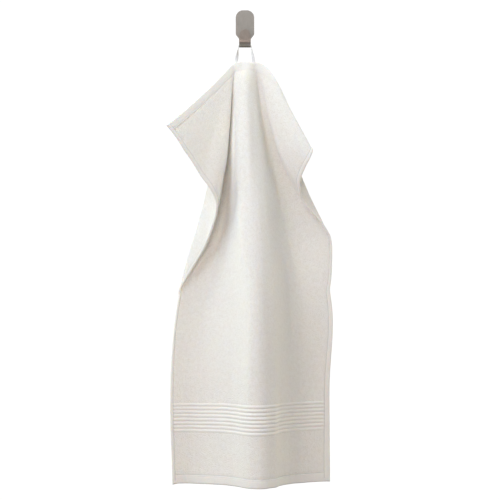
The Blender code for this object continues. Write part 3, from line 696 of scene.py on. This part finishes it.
# painted shade: the pressed side and bottom seams, and the last 1.4 mm of the bottom edge, whose underside
# turns away from the light
side_seam_shade = (np.abs(cell_side - SIDE_HEM - 0.3) < 0.6) & (cell_end > SIDE_HEM)
bottom_seam_shade = (np.abs(from_bottom - END_HEM - 0.3) < 0.9) & (cell_side > SIDE_HEM)
in_painted_shade = side_seam_shade | bottom_seam_shade | (from_bottom < 1.4)
cloth_front, cloth_back = cloth_surface()
HEM_SLOT, TERRY_SLOT, RIB_SLOT, PAINTED_SHADE_SLOT = range(4)
slots = np.where(on_band, RIB_SLOT, TERRY_SLOT)
slots = np.where(in_painted_shade, PAINTED_SHADE_SLOT, np.where(in_hem, HEM_SLOT, slots))
towel = grid_piece("towel_cloth", cloth_front, cloth_back, np.stack([across, down], axis=2) * MM,
                   [flat_weave("hem_weave", HEM_THREADS), terry_pile(), flat_weave("rib_weave", RIB_THREADS),
                    flat_weave("seam_and_edge_shade_weave", HEM_THREADS, PAINTED_SHADE_TONE)], slots)
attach(towel, "root")
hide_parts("towel")

# ---- the hem stitches ---------------------------------------------------------------------------
# One thread stitch after another along all four hems, front and back, and a bar tack of close stitches
# over each end of the loop's tape. Sizes are in millimetres on the flat cloth.

STITCH_PITCH, STITCH_LENGTH = 3.2, 2.5
END_STITCHES, SIDE_STITCHES = END_HEM - STITCH_INSET, SIDE_HEM - 1.3  # from the cloth's edge
TACK_DOWN, TACK_LENGTH, TACK_HALF_WIDTH, TACK_COUNT = 7.5, 3.4, 3, 8
THREAD_HALF = 0.34
THREAD_COLOUR = (0.84, 0.82, 0.775, 1)


def stitch_places():
    """Each stitch's two ends on the flat cloth."""
    along_end = np.arange(SIDE_HEM, 2 * HALF_WIDTH - SIDE_HEM, STITCH_PITCH) - HALF_WIDTH
    along_side = np.arange(END_HEM, LENGTH - END_HEM, STITCH_PITCH)
    along_tack = np.linspace(-TACK_HALF_WIDTH, TACK_HALF_WIDTH, TACK_COUNT)
    half, half_tack = STITCH_LENGTH / 2, TACK_LENGTH / 2
    lines = [[(x - half, y, x + half, y) for x in along_end] for y in (END_STITCHES, LENGTH - END_STITCHES)]
    lines += [[(x, y - half, x, y + half) for y in along_side]
              for x in (SIDE_STITCHES - HALF_WIDTH, HALF_WIDTH - SIDE_STITCHES)]
    lines += [[(x, TACK_DOWN - half_tack, x, TACK_DOWN + half_tack) for x in middle + along_tack]
              for middle in (-HALF_LOOP, HALF_LOOP)]
    return np.concatenate([np.array(line) for line in lines])


def on_cloth(surface, at_across, at_down):
    """Points of the finished cloth's front or back, read between its own columns and rows."""
    x = np.interp(at_across, columns, np.arange(len(columns)))
    y = np.interp(at_down, rows, np.arange(len(rows)))
    i = np.clip(x.astype(int), 0, len(columns) - 2)
    j = np.clip(y.astype(int), 0, len(rows) - 2)
    x, y = (x - i)[:, None], (y - j)[:, None]
    top = surface[i, j] * (1 - x) + surface[i + 1, j] * x
    bottom = surface[i, j + 1] * (1 - x) + surface[i + 1, j + 1] * x
    return top * (1 - y) + bottom * y


def stitch_points(places, face, other_face):
    """Six points a stitch: two ends in the cloth, and a ring of four round its middle."""
    start_across, start_down, end_across, end_down = places.T
    start, end = on_cloth(face, start_across, start_down), on_cloth(face, end_across, end_down)
    middle = (start_across + end_across) / 2, (start_down + end_down) / 2
    centre = on_cloth(face, *middle)
    outward = centre - on_cloth(other_face, *middle)
    outward /= np.linalg.norm(outward, axis=1, keepdims=True)
    sideways = np.cross(end - start, outward)
    sideways /= np.linalg.norm(sideways, axis=1, keepdims=True)
    thread = THREAD_HALF * MM
    sideways, outward = sideways * thread, outward * thread
    return np.stack([start - outward, end - outward, centre + sideways, centre + outward,
                     centre - sideways, centre - outward], axis=1)


def hem_stitches():
    """All the stitches in one mesh, each with four faces to either end of its ring."""
    places = stitch_places()
    points = np.concatenate([stitch_points(places, cloth_front, cloth_back),
                             stitch_points(places, cloth_back, cloth_front)])
    one_stitch = [(tip, *pair) for ring in ((2, 3), (3, 4), (4, 5), (5, 2))
                  for tip, pair in ((0, ring), (1, ring[::-1]))]
    faces = (np.array(one_stitch) + 6 * np.arange(len(points))[:, None, None]).reshape(-1, 3)
    mesh = bpy.data.meshes.new("hem_stitches")
    mesh.from_pydata(points.reshape(-1, 3).tolist(), [], faces.tolist())
    material, shader, _ = new_material("seam_thread", 0.75)
    shader.inputs["Base Color"].default_value = THREAD_COLOUR
    mesh.materials.append(material)
    mesh.shade_smooth()
    mesh.validate()
    piece = bpy.data.objects.new("hem_stitches", mesh)
    bpy.context.collection.objects.link(piece)
    return piece


stitches = hem_stitches()
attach(stitches, "root")
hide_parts("towel")

# ---- the studio ---------------------------------------------------------------------------------
# A pale floor below the towel, soft lights above, in front and at both sides, of which the left ones are
# stronger, and a white room. The two lights behind the wall's line shine through the towel's wings.

FLOOR_Z = -1.05
FLOOR_HALF = 1.2
FLOOR_COLOUR = (0.5, 0.48, 0.46, 1)
ROOM_LIGHT, ROOM_SEEN = 0.1, 1.05  # how bright the white room lights, and how bright the camera sees it
LIGHT_AIM = (0, 0, -0.38)
LIGHTS = [
    # name, place, power, colour
    ("key", (-0.96, -1.15, 0.9), 14.7, (0.75, 0.84, 1.0)),
    ("overhead", (0, -0.5, 1.1), 6.5, (0.92, 1.0, 0.88)),
    ("left", (-1.5, 0, 0.2), 8, (0.92, 1.0, 1.0)),
    ("behind left", (-1.3, 0.75, 0.2), 9.5, (0.95, 1.0, 0.8)),
    ("above right", (0.78, -0.45, 1.2), 5, (0.98, 0.92, 0.95)),
    ("behind right", (1.3, 0.75, -0.5), 8.6, (1.0, 0.9, 0.66)),
    ("low right", (1.36, -0.63, -0.5), 2.4, (0.9, 0.92, 1.0)),
    ("low front", (-0.39, -1.45, -0.5), 5.4, (1.0, 0.84, 0.78)),
    ("front", (0.1, -1.4, 0.5), 3.6, (0.92, 0.97, 1.0)),
]
LIGHT_SIZE = 0.8

floor_mesh = bpy.data.meshes.new("floor")
floor_corners = [(x * FLOOR_HALF, y * FLOOR_HALF, FLOOR_Z) for x, y in ((-1, -1), (1, -1), (1, 1), (-1, 1))]
floor_mesh.from_pydata(floor_corners, [], [(0, 1, 2, 3)])
floor = bpy.data.objects.new("floor", floor_mesh)
bpy.context.collection.objects.link(floor)
floor_material, floor_shader, _ = new_material("floor", 0.9)
floor_shader.inputs["Base Color"].default_value = FLOOR_COLOUR
floor_mesh.materials.append(floor_material)

for name, place, power, colour in LIGHTS:
    light = bpy.data.lights.new(name, "AREA")
    light.shape = "DISK"
    light.size = LIGHT_SIZE
    light.energy = power
    light.color = colour
    lamp = bpy.data.objects.new(name, light)
    bpy.context.collection.objects.link(lamp)
    lamp.location = place
    lamp.rotation_euler = (Vector(LIGHT_AIM) - Vector(place)).to_track_quat("-Z", "Y").to_euler()

world = bpy.data.worlds.new("studio")
world.use_nodes = True
bpy.context.scene.world = world
nodes, links = world.node_tree.nodes, world.node_tree.links
room = nodes["Background"]
room.inputs["Color"].default_value = (1, 1, 1, 1)
room.inputs["Strength"].default_value = ROOM_LIGHT
seen = nodes.new("ShaderNodeBackground")
seen.inputs["Color"].default_value = (1, 1, 1, 1)
seen.inputs["Strength"].default_value = ROOM_SEEN
path = nodes.new("ShaderNodeLightPath")
either = nodes.new("ShaderNodeMixShader")
links.new(path.outputs["Is Camera Ray"], either.inputs[0])
links.new(room.outputs[0], either.inputs[1])
links.new(seen.outputs[0], either.inputs[2])
links.new(either.outputs[0], nodes["World Output"].inputs["Surface"])
bpy.context.scene.view_settings.view_transform = "Standard"
